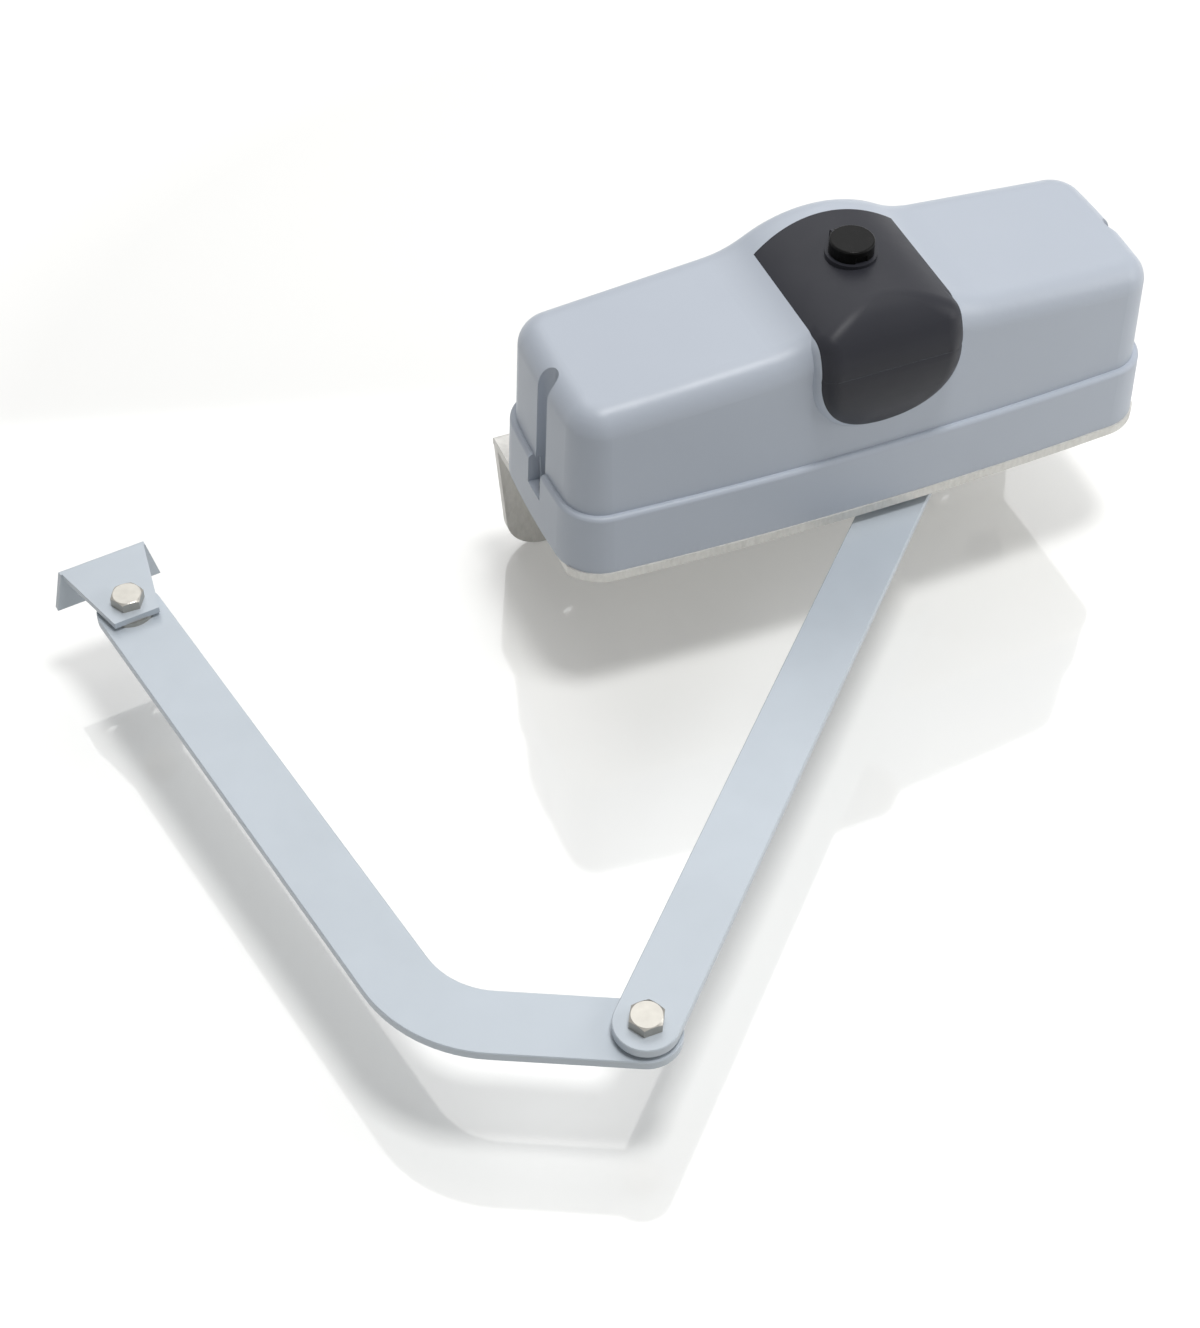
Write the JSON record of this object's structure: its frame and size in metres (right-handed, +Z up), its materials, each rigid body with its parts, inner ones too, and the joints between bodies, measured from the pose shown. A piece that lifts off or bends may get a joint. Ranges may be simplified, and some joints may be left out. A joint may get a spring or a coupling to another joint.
{
  "type": "articulated arm gate opener",
  "caption": "Electric opener for a swing gate: a long housing on a folded wall bracket, a flat drive arm, a curved arm and a folded gate bracket, with a capped manual release.",
  "frame": {"origin": "middle of the four wall holes, on the rear face of the wall bracket's flange", "axes": "+Y points into the wall, +Z is up, +X runs along the housing, away from the arms"},
  "size_m": [0.6532, 0.445, 0.2449],
  "materials": {
    "pale_shell": "fine moulded grain, pale blue-grey",
    "dark_panel": "satin, dark grey",
    "black_cap": "satin black",
    "bracket_steel": "light silver paint over plate, cut edges rougher",
    "arm_paint": "pale blue-grey powder paint",
    "stainless": "turned stainless steel",
    "bronze": "machined bronze",
    "cast_alloy": "sand-blasted casting",
    "bearing_steel": "ground steel",
    "gear_steel": "machined, lightly oiled",
    "black_rubber": "matte",
    "motor_paint": "dark grey paint",
    "black_plastic": "matte moulded",
    "green_board": "coated laminate",
    "green_terminals": "matte moulded"
  },
  "bodies": {
    "housing": {"wall_bracket": "bracket_steel", "base_housing": "pale_shell", "top_cover": "pale_shell", "centre_panel": "dark_panel", "cap_pin": "stainless", "cover_seal": "black_rubber", "gear_case": "cast_alloy", "gear_case_lid": "cast_alloy", "lower_output_bearing": "bearing_steel", "upper_output_bearing": "bearing_steel", "lower_pinion_bearing": "bearing_steel", "upper_pinion_bearing": "bearing_steel", "worm_end_bearing": "bearing_steel", "shaft_seal": "black_rubber", "gearhead": "motor_paint", "motor_can": "motor_paint", "motor_end_cap": "black_plastic", "sensor_board": "green_board", "control_board": "green_board", "terminal_block": "green_terminals", "cable_gland": "black_plastic", "case_screws": "stainless", "lid_screws": "stainless", "base_screws": "stainless", "cover_screws": "stainless"},
    "drive": {"output_shaft": "gear_steel", "output_gear": "gear_steel", "sensor_magnet": "gear_steel", "drive_arm": "arm_paint", "arm_washer": "stainless", "arm_screw": "stainless", "elbow_bolt": "stainless", "elbow_washer": "stainless", "elbow_lower_washer": "stainless", "elbow_nut": "stainless"},
    "pinion": {"pinion_shaft": "gear_steel", "worm_wheel": "bronze"},
    "worm": {"worm_shaft": "gear_steel"},
    "clutch": {"clutch_key": "stainless"},
    "pusher": {"release_pusher": "stainless"},
    "release": {"release_key": "stainless"},
    "cap": {"release_cap": "black_cap"},
    "curved": {"curved_arm": "arm_paint", "elbow_bush": "bronze", "gate_bush": "bronze"},
    "gate": {"gate_bracket": "arm_paint", "gate_bolt": "stainless", "gate_washer": "stainless", "gate_lower_washer": "stainless", "gate_nut": "stainless"}
  },
  "joints": [
    {"name": "arm_swing", "type": "hinge", "parent": "housing", "child": "drive", "pos_m": [0.071, -0.0795, 0.0346], "axis": [0, 0, 1], "range_deg": [-5, 60]},
    {"name": "elbow_turn", "type": "hinge", "parent": "drive", "child": "curved", "pos_m": [-0.265, -0.417, 0.0265], "axis": [0, 0, 1], "range_deg": [-25, 60]},
    {"name": "gate_pivot", "type": "hinge", "parent": "curved", "child": "gate", "pos_m": [-0.4256, -0.0369, 0.0265], "axis": [0, 0, 1], "range_deg": [-10, 100]},
    {"name": "pinion_turn", "type": "hinge", "parent": "housing", "child": "pinion", "pos_m": [0.003, -0.079, 0.08], "axis": [0, 0, 1], "range_deg": [-98, 9]},
    {"name": "worm_turn", "type": "hinge", "parent": "housing", "child": "worm", "pos_m": [0.003, -0.049, 0.094], "axis": [1, 0, 0], "range_deg": [-2910, 245]},
    {"name": "release_turn", "type": "hinge", "parent": "housing", "child": "release", "pos_m": [0.003, -0.079, 0.15], "axis": [0, 0, 1], "range_deg": [0, 90]},
    {"name": "pusher_slide", "type": "slide", "parent": "housing", "child": "pusher", "axis": [0, 0, -1], "range_m": [0, 0.0044]},
    {"name": "clutch_slide", "type": "slide", "parent": "pinion", "child": "clutch", "axis": [0, 0, -1], "range_m": [0, 0.0044]},
    {"name": "cap_flip", "type": "hinge", "parent": "housing", "child": "cap", "pos_m": [0.003, -0.0635, 0.1939], "axis": [-1, 0, 0], "range_deg": [0, 110]}
  ],
  "couplings": [
    {"joint": "pinion_turn", "follows": "arm_swing", "ratio": -1.6154},
    {"joint": "worm_turn", "follows": "arm_swing", "ratio": -48.462},
    {"joint": "pusher_slide", "follows": "release_turn", "m_per_rad": 0.0027375},
    {"joint": "clutch_slide", "follows": "release_turn", "m_per_rad": 0.0027375}
  ]
}
